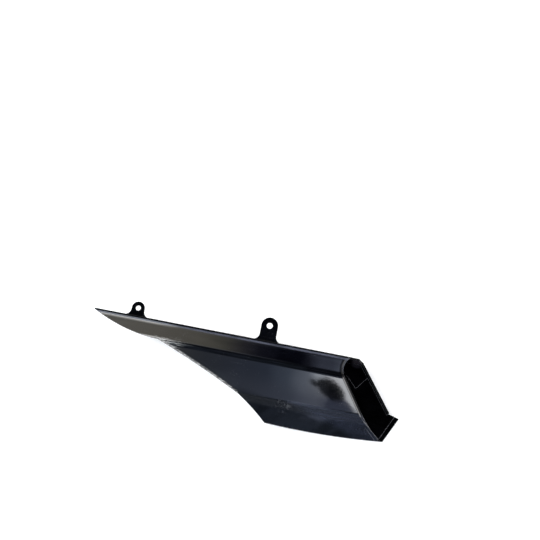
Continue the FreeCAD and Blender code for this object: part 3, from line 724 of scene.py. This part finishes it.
def paint_wall(n):
    """Upright sheet on the outboard side: warm at the rear, dark in the middle."""
    x, y, _ = n.axes()
    height = n.plus(y, WALL_MIDDLE)
    streaks = n.fade(n.drawn_noise(12.0, (3.0, 30.0, 1.0), 3.0, 0.6), 0.3, 0.7, 0.82, 1.15)
    low = n.mix(1.0, n.ramp(x, *WALL_SPAN, WALL_LOW), streaks, "MULTIPLY")
    colour = n.mix(n.fade(height, 0.50, 0.78), low, n.ramp(x, *WALL_SPAN, WALL_BAND))
    over_top = n.minus(height, n.fade(x, -0.28, -0.36, 0.80, 1.05))
    colour = n.mix(n.fade(over_top, 0.0, 0.08), colour, (0.05, 0.06, 0.08))
    white = n.times(n.fade(height, 0.24, 0.18), n.fade(x, -0.15, -0.30))
    return n.mix(white, colour, (5.0, 5.0, 5.0))


def add_lamp(name, place):
    """Soft square lamp that points at the panel."""
    data = bpy.data.lights.new(name, "AREA")
    data.shape = "SQUARE"
    data.size = LAMP_SIZE
    data.energy = LAMP_POWER
    lamp = bpy.data.objects.new(name, data)
    bpy.context.scene.collection.objects.link(lamp)
    lamp.location = place
    lamp.rotation_euler = (-Vector(place)).to_track_quat("-Z", "Y").to_euler()


def white_rays(n):
    """One for rays that show the background: seen straight, mirrored or let through."""
    path = n.add("ShaderNodeLightPath").outputs
    return n.most(path["Is Camera Ray"], path["Is Glossy Ray"], path["Is Transmission Ray"])


def pale_floor():
    """Matt off-white floor that looks white where nothing shades it."""
    material = bpy.data.materials.new("floor_pale")
    n = Nodes(material)
    shader = n.add("ShaderNodeBsdfDiffuse")
    n.put(shader.inputs["Color"], n.mix(n.noise(3.0, 3.0), *FLOOR_TONES))
    light = n.add("ShaderNodeEmission")
    n.put(light.inputs["Strength"], n.times(white_rays(n), 0.25))
    both = n.add("ShaderNodeAddShader")
    n.link(shader.outputs[0], both.inputs[0])
    n.link(light.outputs[0], both.inputs[1])
    n.link(both.outputs[0], n.add("ShaderNodeOutputMaterial").inputs["Surface"])
    return material


def add_world():
    """Soft even light, and plain white where the background shows."""
    world = bpy.data.worlds.new("studio")
    bpy.context.scene.world = world
    n = Nodes(world)
    either = n.add("ShaderNodeMixShader")
    n.link(white_rays(n), either.inputs[0])
    for socket, strength in ((either.inputs[1], 0.6), (either.inputs[2], 1.0)):
        light = n.add("ShaderNodeBackground")
        n.fill(light, {"Color": (1.0, 1.0, 1.0), "Strength": strength})
        n.link(light.outputs[0], socket)
    n.link(either.outputs[0], n.add("ShaderNodeOutputWorld").inputs["Surface"])


def add_studio():
    """Painted light sheets, pale floor, lamps and world."""
    add_light_sheet("ceiling_sheet", (0.0, 0.0, CEILING_HEIGHT), (CEILING_SIZE, CEILING_SIZE),
                    glow("ceiling_glow", paint_ceiling))
    add_light_sheet("wall_sheet", (0.0, -WALL_OUT, WALL_MIDDLE), (WALL_WIDTH, WALL_HEIGHT),
                    glow("wall_glow", paint_wall), (90.0, 0.0, 0.0))
    add_plane("floor", (0.0, 0.0, cad_box[0].z - FLOOR_GAP), (FLOOR_SIZE, FLOOR_SIZE),
              pale_floor())
    for name, place in LAMPS:
        add_lamp(name, place)
    add_world()


def add_camera():
    """The photograph's view: from above, a little outboard of the panel."""
    data = bpy.data.cameras.new("camera")
    data.sensor_width = SENSOR_WIDTH
    data.sensor_fit = "HORIZONTAL"
    data.lens = FOCAL_LENGTH
    data.clip_start = CLIP_START
    camera = bpy.data.objects.new("camera", data)
    bpy.context.scene.collection.objects.link(camera)
    back = Vector(CAMERA_BACK).normalized()
    up = back.cross(Vector(CAMERA_RIGHT).normalized()).normalized()
    right = up.cross(back).normalized()
    turn = Matrix((right, up, back)).transposed()
    camera.matrix_world = Matrix.Translation(CAMERA_PLACE) @ turn.to_4x4()
    bpy.context.scene.camera = camera


dress("side_panel", gelcoat(), laminate(), cut_edge())
add_studio()
add_camera()
bpy.context.scene.view_settings.view_transform = "Standard"
